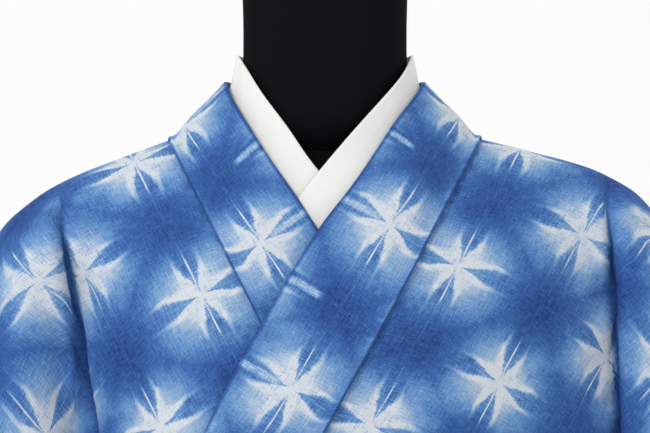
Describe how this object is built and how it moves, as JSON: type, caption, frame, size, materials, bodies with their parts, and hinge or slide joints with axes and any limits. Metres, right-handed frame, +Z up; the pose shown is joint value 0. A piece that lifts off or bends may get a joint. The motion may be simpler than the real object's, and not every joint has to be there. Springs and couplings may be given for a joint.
{
  "type": "cotton yukata robe on a limbless dress form",
  "caption": "Cotton yukata robe with wide sleeves and a crossed collar, tied with a bowed sash, worn by a limbless dress form on a round floor stand.",
  "frame": {"origin": "centre of the stand's base on its underside, on the floor", "axes": "+Z up, the robe's front faces -Y, +X is the wearer's left; the floor is z = 0"},
  "size_m": [0.6474, 0.33, 1.4395],
  "materials": {
    "indigo_cotton": "plain-weave cotton, indigo dyed with white star-shaped resist marks, matt",
    "white_cotton": "smooth white cotton, matt",
    "sash": "ribbed dark indigo sash cloth, faint sheen",
    "form_jersey": "black stretch jersey, matt",
    "stand_metal": "black powder coat, fine grain"
  },
  "bodies": {
    "root": {"body_left": "indigo_cotton", "body_right": "indigo_cotton", "overlap_left": "indigo_cotton", "overlap_right": "indigo_cotton", "collar": "indigo_cotton", "under_collar": "white_cotton", "sleeve_left": "indigo_cotton", "sleeve_right": "indigo_cotton", "obi": "sash", "obi_bow": "sash", "obi_knot": "sash", "form_torso": "form_jersey", "form_neck_cap": "form_jersey", "stand_pole": "stand_metal", "stand_base": "stand_metal"}
  },
  "joints": []
}
